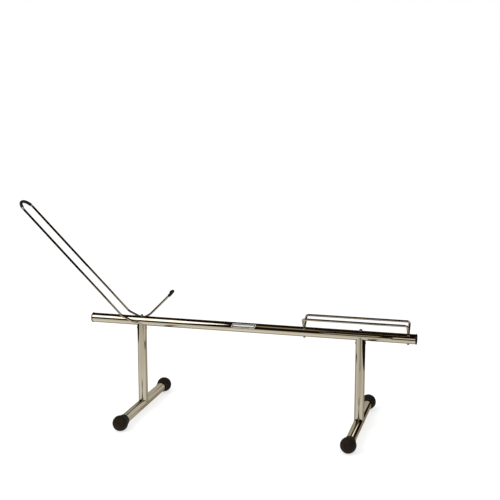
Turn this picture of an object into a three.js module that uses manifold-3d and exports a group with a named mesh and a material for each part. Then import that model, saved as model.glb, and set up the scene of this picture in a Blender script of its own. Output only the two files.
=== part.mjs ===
// Display stand for one bicycle: a chromed beam on two legs. The tyres rest on the beam's top.
// The front tyre stands between the rails of a fixed cradle. The rear tyre is held by a bent bar
// that rocks on a pivot through the beam: its hook goes under the tyre and its hoop behind it.
// Millimetres. X runs along the beam towards the front wheel, Y across it, Z up from the floor.

import * as THREE from 'three';
import { mergeVertices } from 'three/addons/utils/BufferGeometryUtils.js';
import Module from 'manifold-3d';

const wasm = await Module();
wasm.setup();

// Clearances and cutting
const SEAT_GAP = 0.3;
const PIVOT_PLAY = 0.15;
const CUT_OVERRUN = 2;

// Facets
const TUBE_SIDES = 40;
const BAR_SIDES = 12;
const BORE_SIDES = 24;
const CAP_SIDES = 28;
const PLUG_SIDES = 32;
const HEX_SIDES = 6;
const CHORD_ERROR = 0.1;
const SHORTEST_STRETCH = 0.05;

// Beam, legs and foot tubes are cut from one tube
const TUBE_DIAMETER = 38;
const TUBE_WALL = 1.5;
const BEAM_LENGTH = 1308;
const BEAM_AXIS_HEIGHT = 377;
const LEG_SPACING = 890;
const FOOT_TUBE_LENGTH = 490;

// Plastic plugs in the beam's ends
const PLUG_FLANGE_DIAMETER = 40.5;
const PLUG_FLANGE_LENGTH = 5;
const PLUG_EDGE_RADIUS = 2;
const PLUG_SKIRT_LENGTH = 18;
const PLUG_SKIRT_WALL = 2.5;

// Rubber ball caps on the foot tubes
const BALL_DIAMETER = 61;
const BALL_FLAT_DIAMETER = 12;
const BALL_PAST_TUBE = 5;
const COLLAR_DIAMETER = 45.5;
const COLLAR_REACH = 38;
const COLLAR_LIP_RADIUS = 1.5;
const WAIST_DIAMETER = 43.5;
const WAIST_LENGTH = 5;

// Bolt down through the beam into a cross dowel in each leg
const LEG_BOLT_DIAMETER = 6;
const LEG_BOLT_TAIL = 4;
const LEG_BOLT_HEAD_WIDTH = 10;
const LEG_BOLT_HEAD_HEIGHT = 4;
const LEG_WASHER_DIAMETER = 13;
const LEG_WASHER_CROWN = 1.2;
const DOWEL_DIAMETER = 10;
const DOWEL_DEPTH = 30;
const DOWEL_STAND_OUT = 1.5;

// Cradle: two bent bars, welded to a stud at each end
const CRADLE_BAR_DIAMETER = 9.3;
const CRADLE_LENGTH = 400;
const CRADLE_CENTRE_BEHIND_LEG = 19.5;
const CRADLE_TRACK = 73;
const CRADLE_RAIL_HEIGHT = 58;
const CRADLE_FOOT_TRACK = 20;
const CRADLE_BEND_RADIUS = 10;
const STUD_DIAMETER = 5;
const STUD_TAIL = 1;
const STUD_NUT_WIDTH = 8;
const STUD_NUT_HEIGHT = 4;

// Pivot of the wheel holder
const PIVOT_SLEEVE_DIAMETER = 13;
const PIVOT_SLEEVE_STAND_OUT = 0.7;
const PIVOT_TO_BOLT_METAL = 2.5;

// Wheel holder: one round bar with a long hoop behind the pivot and a short hook in front
const HOLDER_BAR_DIAMETER = 9;
const HOLDER_TRACK = 80;
const HOLDER_CORNER_RADIUS = 12;
const HOLDER_KNEE_RADIUS = 40;
const HOLDER_VERTEX_RADIUS = 15;
const ARM_RISE = Math.PI / 4;
const HOOP_KNEE_RUN = 57;
const HOOP_KNEE_RISE = 25;
const HOOP_ARM_LENGTH = 584;
const HOOK_KNEE_RUN = 32.5;
const HOOK_KNEE_RISE = 17.3;
const HOOK_ARM_LENGTH = 116;
const HOOK_END_LENGTH = 12;

// Rubber sleeves on the hoop and the hook
const SLEEVE_DIAMETER = 13;
const SLEEVE_END_WALL = 2.5;
const HOOP_SLEEVE_START = Math.PI / 9;

// Places worked out from the sizes above
const tubeRadius = TUBE_DIAMETER / 2;
const tubeBore = tubeRadius - TUBE_WALL;
const beamTop = BEAM_AXIS_HEIGHT + tubeRadius;
const beamUnderside = BEAM_AXIS_HEIGHT - tubeRadius;
const rearLegX = -LEG_SPACING / 2;
const frontLegX = LEG_SPACING / 2;
const footAxisHeight = Math.sqrt((BALL_DIAMETER / 2) ** 2 - (BALL_FLAT_DIAMETER / 2) ** 2);
const dowelHeight = beamUnderside + tubeRadius - DOWEL_DEPTH;
const pivotX = rearLegX - (LEG_BOLT_DIAMETER + PIVOT_SLEEVE_DIAMETER) / 2 - PIVOT_TO_BOLT_METAL;
const holderArmY = HOLDER_TRACK / 2;
const sleeveBore = (HOLDER_BAR_DIAMETER + 2 * SEAT_GAP) / Math.cos(Math.PI / BAR_SIDES);
const cradleMiddleX = frontLegX - CRADLE_CENTRE_BEHIND_LEG;
const cradleRearX = cradleMiddleX - CRADLE_LENGTH / 2;
const cradleFrontX = cradleMiddleX + CRADLE_LENGTH / 2;

// Materials
const chrome = () => new THREE.MeshStandardMaterial({ color: 0xd8d2c4, roughness: 0.12, metalness: 1 });
const zincSteel = () => new THREE.MeshStandardMaterial({ color: 0xb4b4b0, roughness: 0.35, metalness: 1 });
const blackRubber = () => new THREE.MeshStandardMaterial({ color: 0x1c1815, roughness: 0.8, metalness: 0 });
const blackPlastic = () => new THREE.MeshStandardMaterial({ color: 0x121110, roughness: 0.5, metalness: 0 });

// Solids for joining and cutting
function solidFrom(geometry) {
  const bare = geometry.clone();
  bare.deleteAttribute('normal');
  bare.deleteAttribute('uv');
  const merged = mergeVertices(bare);
  const vertProperties = new Float32Array(merged.attributes.position.array);
  const triVerts = new Uint32Array(merged.index.array);
  return new wasm.Manifold(new wasm.Mesh({ numProp: 3, vertProperties, triVerts }));
}

function geometryFrom(solid) {
  const mesh = solid.getMesh();
  const geometry = new THREE.BufferGeometry();
  geometry.setAttribute('position', new THREE.BufferAttribute(mesh.vertProperties, mesh.numProp));
  geometry.setIndex(new THREE.BufferAttribute(mesh.triVerts, 1));
  geometry.computeVertexNormals();
  return geometry;
}

function cut(geometry, tools) {
  let solid = solidFrom(geometry);
  for (const tool of tools) {
    solid = solid.subtract(solidFrom(tool));
  }
  return geometryFrom(solid);
}

function join(geometries) {
  let solid = solidFrom(geometries[0]);
  for (const geometry of geometries.slice(1)) {
    solid = solid.add(solidFrom(geometry));
  }
  return geometryFrom(solid);
}

// Round and hexagonal stock, centred on the origin and lying along X, Y or Z
function turnTo(axis, geometry) {
  if (axis === 'x') {
    return geometry.rotateZ(-Math.PI / 2);
  }
  if (axis === 'z') {
    return geometry.rotateX(Math.PI / 2);
  }
  return geometry;
}

function rod(axis, radius, length, sides) {
  return turnTo(axis, new THREE.CylinderGeometry(radius, radius, length, sides));
}

function hexRod(axis, widthAcrossFlats, length) {
  const cornerRadius = widthAcrossFlats / 2 / Math.cos(Math.PI / HEX_SIDES);
  return rod(axis, cornerRadius, length, HEX_SIDES);
}

function tube(axis, outerRadius, innerRadius, length, sides) {
  const profile = [
    new THREE.Vector2(innerRadius, -length / 2),
    new THREE.Vector2(outerRadius, -length / 2),
    new THREE.Vector2(outerRadius, length / 2),
    new THREE.Vector2(innerRadius, length / 2),
    new THREE.Vector2(innerRadius, -length / 2),
  ];
  return turnTo(axis, new THREE.LatheGeometry(profile, sides));
}

// Bent bar: a section swept through stations that fall on the ends and steps of its bends
class StationCurve extends THREE.Curve {
  constructor(stations) {
    super();
    this.stations = stations;
  }

  stationAt(share) {
    return this.stations[Math.round(share * (this.stations.length - 1))];
  }

  getPointAt(share) {
    return this.stationAt(share).point.clone();
  }

  getTangentAt(share) {
    return this.stationAt(share).tangent.clone();
  }
}

function station(point, tangent) {
  return { point, tangent };
}

function along(point, direction, length) {
  return point.clone().addScaledVector(direction, length);
}

function directionFrom(start, end) {
  return end.clone().sub(start).normalize();
}

function arcStations(start, heading, inward, radius, turn) {
  const step = 2 * Math.acos(1 - CHORD_ERROR / radius);
  const count = Math.ceil(turn / step);
  const stations = [];
  for (let index = 0; index <= count; index += 1) {
    const angle = (turn * index) / count;
    const ahead = along(start, heading, radius * Math.sin(angle));
    const point = along(ahead, inward, radius * (1 - Math.cos(angle)));
    const tangent = heading.clone().multiplyScalar(Math.cos(angle));
    stations.push(station(point, tangent.addScaledVector(inward, Math.sin(angle))));
  }
  return stations;
}

function bendLength(before, corner, after, radius) {
  const turn = directionFrom(before, corner).angleTo(directionFrom(corner, after));
  return radius * Math.tan(turn / 2);
}

function bendStations(before, corner, after, radius) {
  const heading = directionFrom(before, corner);
  const leaving = directionFrom(corner, after);
  const turn = heading.angleTo(leaving);
  const inward = leaving.clone().addScaledVector(heading, -Math.cos(turn)).normalize();
  const start = along(corner, heading, -bendLength(before, corner, after, radius));
  return arcStations(start, heading, inward, radius, turn);
}

function sameAsBefore(item, index, stations) {
  return index > 0 && item.point.distanceTo(stations[index - 1].point) < SHORTEST_STRETCH;
}

function bentStations(corners, radii) {
  const last = corners.length - 1;
  const stations = [station(corners[0], directionFrom(corners[0], corners[1]))];
  for (let index = 1; index < last; index += 1) {
    const [before, corner, after] = corners.slice(index - 1, index + 2);
    stations.push(...bendStations(before, corner, after, radii[index - 1]));
  }
  stations.push(station(corners[last], directionFrom(corners[last - 1], corners[last])));
  return stations.filter((item, index) => !sameAsBefore(item, index, stations));
}

function circlePoints(radius, sides) {
  const points = [];
  for (let index = 0; index < sides; index += 1) {
    const angle = (2 * Math.PI * index) / sides;
    points.push(new THREE.Vector2(radius * Math.cos(angle), radius * Math.sin(angle)));
  }
  return points;
}

function sweep(section, stations) {
  return new THREE.ExtrudeGeometry(section, {
    steps: stations.length - 1,
    extrudePath: new StationCurve(stations),
    bevelEnabled: false,
  });
}

function bar(stations, diameter) {
  return sweep(new THREE.Shape(circlePoints(diameter / 2, BAR_SIDES)), stations);
}

function openSleeve(stations, outerDiameter, innerDiameter) {
  const section = new THREE.Shape(circlePoints(outerDiameter / 2, BAR_SIDES));
  section.holes.push(new THREE.Path(circlePoints(innerDiameter / 2, BAR_SIDES)));
  return sweep(section, stations);
}

// Scene graph
const stand = new THREE.Group();

function place(parent, name, geometry, material, x, y, z) {
  const mesh = new THREE.Mesh(geometry, material);
  mesh.name = name;
  mesh.position.set(x, y, z);
  parent.add(mesh);
}

// Beam with its holes for the leg bolts, the cradle studs and the pivot sleeve
function beamTubeGeometry() {
  const drillLength = TUBE_DIAMETER + 2 * CUT_OVERRUN;
  const tools = [];
  for (const x of [rearLegX, frontLegX]) {
    tools.push(rod('z', LEG_BOLT_DIAMETER / 2 + SEAT_GAP, drillLength, BORE_SIDES).translate(x, 0, 0));
  }
  for (const x of [cradleRearX, cradleFrontX]) {
    tools.push(rod('z', STUD_DIAMETER / 2 + SEAT_GAP, drillLength, BORE_SIDES).translate(x, 0, 0));
  }
  tools.push(rod('y', PIVOT_SLEEVE_DIAMETER / 2 + SEAT_GAP, drillLength, BORE_SIDES).translate(pivotX, 0, 0));
  return cut(tube('x', tubeRadius, tubeBore, BEAM_LENGTH, TUBE_SIDES), tools);
}

// Plug for the beam's end, turned so that its axis is X and its flange faces +X
function beamPlugGeometry() {
  const skirtRadius = tubeBore - SEAT_GAP;
  const skirtBore = skirtRadius - PLUG_SKIRT_WALL;
  const flangeRadius = PLUG_FLANGE_DIAMETER / 2;
  const profile = [
    new THREE.Vector2(0, SEAT_GAP),
    new THREE.Vector2(skirtBore, SEAT_GAP),
    new THREE.Vector2(skirtBore, -PLUG_SKIRT_LENGTH),
    new THREE.Vector2(skirtRadius, -PLUG_SKIRT_LENGTH),
    new THREE.Vector2(skirtRadius, SEAT_GAP),
    new THREE.Vector2(flangeRadius, SEAT_GAP),
  ];
  const edgeSteps = 4;
  for (let index = 0; index <= edgeSteps; index += 1) {
    const angle = (Math.PI / 2) * (index / edgeSteps);
    const radius = flangeRadius - PLUG_EDGE_RADIUS * (1 - Math.cos(angle));
    const reach = PLUG_FLANGE_LENGTH - PLUG_EDGE_RADIUS * (1 - Math.sin(angle));
    profile.push(new THREE.Vector2(radius, reach));
  }
  profile.push(new THREE.Vector2(0, PLUG_FLANGE_LENGTH));
  return turnTo('x', new THREE.LatheGeometry(profile, PLUG_SIDES));
}

function addBeam(group) {
  place(group, 'beam_tube', beamTubeGeometry(), chrome(), 0, 0, BEAM_AXIS_HEIGHT);
  const halfLength = BEAM_LENGTH / 2;
  place(group, 'beam_plug_front', beamPlugGeometry(), blackPlastic(), halfLength, 0, BEAM_AXIS_HEIGHT);
  const rearPlug = beamPlugGeometry().rotateZ(Math.PI);
  place(group, 'beam_plug_rear', rearPlug, blackPlastic(), -halfLength, 0, BEAM_AXIS_HEIGHT);
}

// Leg tube: its ends are coped to the beam above and the foot tube below, and the dowel crosses it
function legTubeGeometry() {
  const length = BEAM_AXIS_HEIGHT - footAxisHeight;
  const middle = (BEAM_AXIS_HEIGHT + footAxisHeight) / 2;
  const copeLength = TUBE_DIAMETER + 2 * CUT_OVERRUN;
  const copeRadius = (tubeRadius + SEAT_GAP) / Math.cos(Math.PI / TUBE_SIDES);
  const beamCope = rod('x', copeRadius, copeLength, TUBE_SIDES).translate(0, 0, BEAM_AXIS_HEIGHT);
  const footCope = rod('y', copeRadius, copeLength, TUBE_SIDES).translate(0, 0, footAxisHeight);
  const dowelHole = rod('x', DOWEL_DIAMETER / 2 + SEAT_GAP, copeLength, BORE_SIDES);
  dowelHole.translate(0, 0, dowelHeight);
  const blank = tube('z', tubeRadius, tubeBore, length, TUBE_SIDES).translate(0, 0, middle);
  return cut(blank, [beamCope, footCope, dowelHole]);
}

// Saddle washer between a bolt head and the round top of the beam
function legWasherGeometry() {
  const depth = LEG_WASHER_DIAMETER / 2;
  const top = tubeRadius + SEAT_GAP + LEG_WASHER_CROWN;
  const blank = rod('z', LEG_WASHER_DIAMETER / 2, depth, BORE_SIDES).translate(0, 0, top - depth / 2);
  const saddleRadius = (tubeRadius + SEAT_GAP) / Math.cos(Math.PI / TUBE_SIDES);
  const saddle = rod('x', saddleRadius, LEG_WASHER_DIAMETER + 2 * CUT_OVERRUN, TUBE_SIDES);
  const hole = rod('z', LEG_BOLT_DIAMETER / 2 + SEAT_GAP, TUBE_DIAMETER * 2, BORE_SIDES);
  return cut(blank, [saddle, hole]);
}

function legBoltGeometry(headSeat, tip) {
  const shankLength = headSeat - tip + LEG_BOLT_HEAD_HEIGHT / 2;
  const shank = rod('z', LEG_BOLT_DIAMETER / 2, shankLength, BORE_SIDES);
  shank.translate(0, 0, tip + shankLength / 2);
  const headMiddle = headSeat + LEG_BOLT_HEAD_HEIGHT / 2;
  const head = hexRod('z', LEG_BOLT_HEAD_WIDTH, LEG_BOLT_HEAD_HEIGHT).translate(0, 0, headMiddle);
  return join([shank, head]);
}

function dowelGeometry() {
  const length = TUBE_DIAMETER + 2 * DOWEL_STAND_OUT;
  const hole = rod('z', LEG_BOLT_DIAMETER / 2 + SEAT_GAP, DOWEL_DIAMETER + 2 * CUT_OVERRUN, BORE_SIDES);
  return cut(rod('x', DOWEL_DIAMETER / 2, length, BORE_SIDES), [hole]);
}

function addLeg(group, end, x) {
  const headSeat = beamTop + LEG_WASHER_CROWN + 2 * SEAT_GAP;
  const boltTip = dowelHeight - DOWEL_DIAMETER / 2 - LEG_BOLT_TAIL;
  place(group, `leg_tube_${end}`, legTubeGeometry(), chrome(), x, 0, 0);
  place(group, `leg_washer_${end}`, legWasherGeometry(), zincSteel(), x, 0, BEAM_AXIS_HEIGHT);
  place(group, `leg_bolt_${end}`, legBoltGeometry(headSeat, boltTip), zincSteel(), x, 0, 0);
  place(group, `leg_dowel_${end}`, dowelGeometry(), zincSteel(), x, 0, dowelHeight);
}

// Foot cap: a collar on the tube, a waist, and a ball with a small flat that stands on the floor
function footCapGeometry() {
  const ballRadius = BALL_DIAMETER / 2;
  const bore = tubeRadius + SEAT_GAP;
  const collarRadius = COLLAR_DIAMETER / 2;
  const waistRadius = WAIST_DIAMETER / 2;
  const boreEnd = SEAT_GAP - BALL_PAST_TUBE;
  const waistAngle = Math.asin(waistRadius / ballRadius);
  const waistReach = -ballRadius * Math.cos(waistAngle);
  const profile = [
    new THREE.Vector2(0, boreEnd),
    new THREE.Vector2(bore, boreEnd),
    new THREE.Vector2(bore, -COLLAR_REACH),
    new THREE.Vector2(collarRadius - COLLAR_LIP_RADIUS, -COLLAR_REACH),
    new THREE.Vector2(collarRadius, COLLAR_LIP_RADIUS - COLLAR_REACH),
    new THREE.Vector2(collarRadius, waistReach - WAIST_LENGTH),
  ];
  const arcSteps = 10;
  for (let index = 0; index <= arcSteps; index += 1) {
    const angle = waistAngle + (Math.PI - waistAngle) * (index / arcSteps);
    const radius = index === arcSteps ? 0 : ballRadius * Math.sin(angle);
    profile.push(new THREE.Vector2(radius, -ballRadius * Math.cos(angle)));
  }
  const blockSide = BALL_DIAMETER + 2 * CUT_OVERRUN;
  const floorBlock = new THREE.BoxGeometry(blockSide, blockSide, blockSide);
  floorBlock.translate(0, 0, -footAxisHeight - blockSide / 2);
  return cut(new THREE.LatheGeometry(profile, CAP_SIDES), [floorBlock]);
}

function addFoot(group, end, x) {
  const footTube = tube('y', tubeRadius, tubeBore, FOOT_TUBE_LENGTH, TUBE_SIDES);
  place(group, `foot_tube_${end}`, footTube, chrome(), x, 0, footAxisHeight);
  const reach = FOOT_TUBE_LENGTH / 2 + BALL_PAST_TUBE;
  const nearCap = footCapGeometry().rotateZ(Math.PI);
  place(group, `foot_cap_${end}_far`, footCapGeometry(), blackRubber(), x, reach, footAxisHeight);
  place(group, `foot_cap_${end}_near`, nearCap, blackRubber(), x, -reach, footAxisHeight);
}

// Cradle rail on one side: from a stud along the beam's top, up and out, along the tyre and back
function cradleRailGeometry(side) {
  const barRadius = CRADLE_BAR_DIAMETER / 2;
  const footHeight = beamTop + SEAT_GAP + barRadius;
  const railHeight = BEAM_AXIS_HEIGHT + CRADLE_RAIL_HEIGHT;
  const endY = side * (STUD_DIAMETER / 2 + SEAT_GAP);
  const footY = (side * CRADLE_FOOT_TRACK) / 2;
  const railY = (side * CRADLE_TRACK) / 2;
  const corners = [
    new THREE.Vector3(cradleRearX, endY, footHeight),
    new THREE.Vector3(cradleRearX, footY, footHeight),
    new THREE.Vector3(cradleRearX, railY, railHeight),
    new THREE.Vector3(cradleFrontX, railY, railHeight),
    new THREE.Vector3(cradleFrontX, footY, footHeight),
    new THREE.Vector3(cradleFrontX, endY, footHeight),
  ];
  const radii = Array(corners.length - 2).fill(CRADLE_BEND_RADIUS);
  return bar(bentStations(corners, radii), CRADLE_BAR_DIAMETER);
}

function studNutGeometry() {
  const hole = rod('z', STUD_DIAMETER / 2 + SEAT_GAP, STUD_NUT_HEIGHT + 2 * CUT_OVERRUN, BORE_SIDES);
  return cut(hexRod('z', STUD_NUT_WIDTH, STUD_NUT_HEIGHT), [hole]);
}

function addCradle(group) {
  place(group, 'cradle_rail_near', cradleRailGeometry(-1), chrome(), 0, 0, 0);
  place(group, 'cradle_rail_far', cradleRailGeometry(1), chrome(), 0, 0, 0);
  const studTop = beamTop + SEAT_GAP + CRADLE_BAR_DIAMETER;
  const nutTop = beamUnderside - SEAT_GAP;
  const studTip = nutTop - STUD_NUT_HEIGHT - STUD_TAIL;
  const studLength = studTop - studTip;
  for (const [end, x] of [['rear', cradleRearX], ['front', cradleFrontX]]) {
    const stud = rod('z', STUD_DIAMETER / 2, studLength, BORE_SIDES);
    place(group, `cradle_stud_${end}`, stud, chrome(), x, 0, studTip + studLength / 2);
    const nutMiddle = nutTop - STUD_NUT_HEIGHT / 2;
    place(group, `cradle_nut_${end}`, studNutGeometry(), zincSteel(), x, 0, nutMiddle);
  }
}

// Steel sleeve across the beam, in which the holder's axle turns
function addPivotSleeve(group) {
  const bore = HOLDER_BAR_DIAMETER / 2 + PIVOT_PLAY;
  const length = TUBE_DIAMETER + 2 * PIVOT_SLEEVE_STAND_OUT;
  const sleeve = tube('y', PIVOT_SLEEVE_DIAMETER / 2, bore, length, BORE_SIDES);
  place(group, 'pivot_sleeve', sleeve, chrome(), pivotX, 0, BEAM_AXIS_HEIGHT);
}

// Route of the holder's bar, measured from its pivot
const hoopHeading = new THREE.Vector3(-Math.cos(ARM_RISE), 0, Math.sin(ARM_RISE));
const hookHeading = new THREE.Vector3(Math.cos(ARM_RISE), 0, Math.sin(ARM_RISE));
const farSide = new THREE.Vector3(0, 1, 0);
const hoopKnee = (side) => new THREE.Vector3(-HOOP_KNEE_RUN, side * holderArmY, HOOP_KNEE_RISE);
const pivotCorner = (side) => new THREE.Vector3(0, side * holderArmY, 0);
const hookKnee = new THREE.Vector3(HOOK_KNEE_RUN, holderArmY, HOOK_KNEE_RISE);
const hoopArchStart = along(hoopKnee(-1), hoopHeading, HOOP_ARM_LENGTH);
const hookBendStart = along(hookKnee, hookHeading, HOOK_ARM_LENGTH);

function vertexBendLength() {
  return bendLength(hoopKnee(1), pivotCorner(1), hookKnee, HOLDER_VERTEX_RADIUS);
}

function hoopGeometry() {
  const hookDirection = directionFrom(pivotCorner(1), hookKnee);
  const corners = [
    new THREE.Vector3(0, HOLDER_CORNER_RADIUS - holderArmY, 0),
    pivotCorner(-1),
    hoopKnee(-1),
    along(hoopArchStart, hoopHeading, holderArmY),
    along(along(hoopArchStart, hoopHeading, holderArmY), farSide, HOLDER_TRACK),
    hoopKnee(1),
    pivotCorner(1),
    along(pivotCorner(1), hookDirection, vertexBendLength()),
  ];
  const radii = [
    HOLDER_CORNER_RADIUS,
    HOLDER_KNEE_RADIUS,
    holderArmY,
    holderArmY,
    HOLDER_KNEE_RADIUS,
    HOLDER_VERTEX_RADIUS,
  ];
  return bar(bentStations(corners, radii), HOLDER_BAR_DIAMETER);
}

function hookArmGeometry() {
  const hookDirection = directionFrom(pivotCorner(1), hookKnee);
  const start = along(pivotCorner(1), hookDirection, vertexBendLength() + SEAT_GAP);
  const corner = along(hookBendStart, hookHeading, holderArmY);
  const end = along(corner, farSide, -holderArmY - HOOK_END_LENGTH);
  const stations = bentStations([start, hookKnee, corner, end], [HOLDER_KNEE_RADIUS, holderArmY]);
  return bar(stations, HOLDER_BAR_DIAMETER);
}

function axleGeometry() {
  const nearEnd = HOLDER_CORNER_RADIUS - holderArmY + SEAT_GAP;
  const farEnd = holderArmY - HOLDER_BAR_DIAMETER / 2 - SEAT_GAP;
  const middle = (nearEnd + farEnd) / 2;
  return rod('y', HOLDER_BAR_DIAMETER / 2, farEnd - nearEnd, BORE_SIDES).translate(0, middle, 0);
}

function hoopSleeveGeometry() {
  const wholeArch = Math.PI;
  const centre = along(hoopArchStart, farSide, holderArmY);
  const outward = along(centre, farSide, -holderArmY * Math.cos(HOOP_SLEEVE_START));
  const start = along(outward, hoopHeading, holderArmY * Math.sin(HOOP_SLEEVE_START));
  const heading = hoopHeading.clone().multiplyScalar(Math.cos(HOOP_SLEEVE_START));
  heading.addScaledVector(farSide, Math.sin(HOOP_SLEEVE_START));
  const inward = directionFrom(start, centre);
  const turn = wholeArch - 2 * HOOP_SLEEVE_START;
  return openSleeve(arcStations(start, heading, inward, holderArmY, turn), SLEEVE_DIAMETER, sleeveBore);
}

function hookSleeveGeometry() {
  const quarterTurn = Math.PI / 2;
  const nearSide = farSide.clone().negate();
  const bend = arcStations(hookBendStart, hookHeading, nearSide, holderArmY, quarterTurn);
  const bendEnd = bend[bend.length - 1];
  const barEnd = along(bendEnd.point, bendEnd.tangent, HOOK_END_LENGTH + SEAT_GAP);
  const sleeveEnd = along(barEnd, bendEnd.tangent, SLEEVE_END_WALL);
  const mouth = station(along(hookBendStart, hookHeading, -CUT_OVERRUN), hookHeading);
  const outer = bar([...bend, station(sleeveEnd, bendEnd.tangent)], SLEEVE_DIAMETER);
  const bore = bar([mouth, ...bend, station(barEnd, bendEnd.tangent)], sleeveBore);
  return cut(outer, [bore]);
}

function addWheelHolder(group) {
  const holder = new THREE.Group();
  holder.position.set(pivotX, 0, BEAM_AXIS_HEIGHT);
  group.add(holder);
  place(holder, 'holder_hoop', hoopGeometry(), chrome(), 0, 0, 0);
  place(holder, 'holder_hook_arm', hookArmGeometry(), chrome(), 0, 0, 0);
  place(holder, 'holder_axle', axleGeometry(), chrome(), 0, 0, 0);
  place(holder, 'hoop_sleeve', hoopSleeveGeometry(), blackRubber(), 0, 0, 0);
  place(holder, 'hook_sleeve', hookSleeveGeometry(), blackRubber(), 0, 0, 0);
}

// The origin is on the floor, under the middle of the whole stand
function centreOnFloor(group) {
  const middle = new THREE.Box3().setFromObject(group).getCenter(new THREE.Vector3());
  group.position.set(-middle.x, -middle.y, 0);
}

addBeam(stand);
for (const [end, x] of [['rear', rearLegX], ['front', frontLegX]]) {
  addLeg(stand, end, x);
  addFoot(stand, end, x);
}
addCradle(stand);
addPivotSleeve(stand);
addWheelHolder(stand);
centreOnFloor(stand);

export default stand;
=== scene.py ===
import math

import bmesh
import bpy
from mathutils import Matrix, Vector


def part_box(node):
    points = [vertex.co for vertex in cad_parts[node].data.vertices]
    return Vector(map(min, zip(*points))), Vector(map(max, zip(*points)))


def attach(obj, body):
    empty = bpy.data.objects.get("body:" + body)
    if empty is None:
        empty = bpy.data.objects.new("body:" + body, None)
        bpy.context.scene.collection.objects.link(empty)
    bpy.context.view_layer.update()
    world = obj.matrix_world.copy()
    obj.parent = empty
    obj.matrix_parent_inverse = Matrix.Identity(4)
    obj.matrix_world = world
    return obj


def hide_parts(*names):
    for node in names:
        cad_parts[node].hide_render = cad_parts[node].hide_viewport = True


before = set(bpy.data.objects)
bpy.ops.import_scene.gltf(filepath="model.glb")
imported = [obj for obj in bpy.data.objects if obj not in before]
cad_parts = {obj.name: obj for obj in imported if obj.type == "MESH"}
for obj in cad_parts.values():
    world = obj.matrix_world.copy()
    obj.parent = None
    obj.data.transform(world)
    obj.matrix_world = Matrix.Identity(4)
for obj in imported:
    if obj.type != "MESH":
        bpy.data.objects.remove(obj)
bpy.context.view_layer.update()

QUARTER_TURN = math.pi / 2

# Sizes of the construction that its boxes don't tell
SEAT_GAP = 0.0003
TUBE_WALL = 0.0015
BALL_DIAMETER = 0.061
BALL_PAST_TUBE = 0.005
COLLAR_DIAMETER = 0.0455
COLLAR_REACH = 0.038
WAIST_DIAMETER = 0.0435
WAIST_LENGTH = 0.005
PLUG_FLANGE_LENGTH = 0.005
PLUG_SKIRT_LENGTH = 0.018
PLUG_SKIRT_WALL = 0.0025
LEG_BOLT_DIAMETER = 0.006
DOWEL_DIAMETER = 0.010
STUD_DIAMETER = 0.005
CRADLE_BAR_DIAMETER = 0.0093
CRADLE_FOOT_TRACK = 0.020
CRADLE_BEND_RADIUS = 0.010
HOLDER_BAR_DIAMETER = 0.009
HOLDER_TRACK = 0.080
HOLDER_CORNER_RADIUS = 0.012
HOLDER_KNEE_RADIUS = 0.040
HOLDER_VERTEX_RADIUS = 0.015
ARM_RISE = math.pi / 4
HOOP_KNEE_RUN = 0.057
HOOP_KNEE_RISE = 0.025
HOOP_ARM_LENGTH = 0.584
HOOK_KNEE_RUN = 0.0325
HOOK_KNEE_RISE = 0.0173
HOOK_ARM_LENGTH = 0.116
HOOK_END_LENGTH = 0.012
SLEEVE_DIAMETER = 0.0125
SLEEVE_END_WALL = 0.0025
HOOP_SLEEVE_START = math.pi / 9

# Places read from the frame
beam_low, beam_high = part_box("beam_tube")
foot_low, foot_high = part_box("foot_tube_rear")
sleeve_low, sleeve_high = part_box("pivot_sleeve")
tube_radius = (beam_high.z - beam_low.z) / 2
tube_bore = tube_radius - TUBE_WALL
beam_height = (beam_high.z + beam_low.z) / 2
foot_height = (foot_high.z + foot_low.z) / 2
pivot = (sleeve_low + sleeve_high) / 2
arm_y = HOLDER_TRACK / 2


def middle_of(node):
    low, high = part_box(node)
    return (low + high) / 2


# Camera at the photograph's viewing angle
CAMERA_PLACE = (1.15496, -3.7129, 1.3950)
CAMERA_YAW = math.radians(15.02)
CAMERA_PITCH = math.radians(-10.42)
CAMERA_LENS = 72.68
SENSOR_WIDTH = 36.0


def add_camera():
    data = bpy.data.cameras.new("camera")
    data.lens = CAMERA_LENS
    data.sensor_width = SENSOR_WIDTH
    camera = bpy.data.objects.new("camera", data)
    camera.location = CAMERA_PLACE
    camera.rotation_euler = (QUARTER_TURN + CAMERA_PITCH, 0, CAMERA_YAW)
    bpy.context.scene.collection.objects.link(camera)
    bpy.context.scene.camera = camera


# Materials
def node_tree(name):
    material = bpy.data.materials.new(name)
    material.use_nodes = True
    return material, material.node_tree.nodes, material.node_tree.links


def noise(nodes, links, scale, detail, stretch=(1, 1, 1)):
    place = nodes.new("ShaderNodeTexCoord")
    mapping = nodes.new("ShaderNodeMapping")
    mapping.inputs["Scale"].default_value = stretch
    texture = nodes.new("ShaderNodeTexNoise")
    texture.inputs["Scale"].default_value = scale
    texture.inputs["Detail"].default_value = detail
    links.new(place.outputs["Object"], mapping.inputs["Vector"])
    links.new(mapping.outputs["Vector"], texture.inputs["Vector"])
    return texture.outputs["Fac"]


def spread(nodes, links, value, low, high, start=0.35, end=0.65):
    """low where value is at start, high where it is at end, and a straight line between them."""
    mapped = nodes.new("ShaderNodeMapRange")
    mapped.inputs["From Min"].default_value = start
    mapped.inputs["From Max"].default_value = end
    mapped.inputs["To Min"].default_value = low
    mapped.inputs["To Max"].default_value = high
    links.new(value, mapped.inputs["Value"])
    return mapped.outputs["Result"]


def colour_ramp(nodes, links, value, stops):
    ramp = nodes.new("ShaderNodeValToRGB")
    elements = ramp.color_ramp.elements
    while len(elements) < len(stops):
        elements.new(1)
    for element, (place, colour) in zip(elements, stops):
        element.position = place
        element.color = (*colour, 1)
    links.new(value, ramp.inputs["Fac"])
    return ramp.outputs["Color"]


def math_node(nodes, links, operation, first, second):
    result = nodes.new("ShaderNodeMath")
    result.operation = operation
    links.new(first, result.inputs[0])
    links.new(second, result.inputs[1])
    return result.outputs["Value"]


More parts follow.
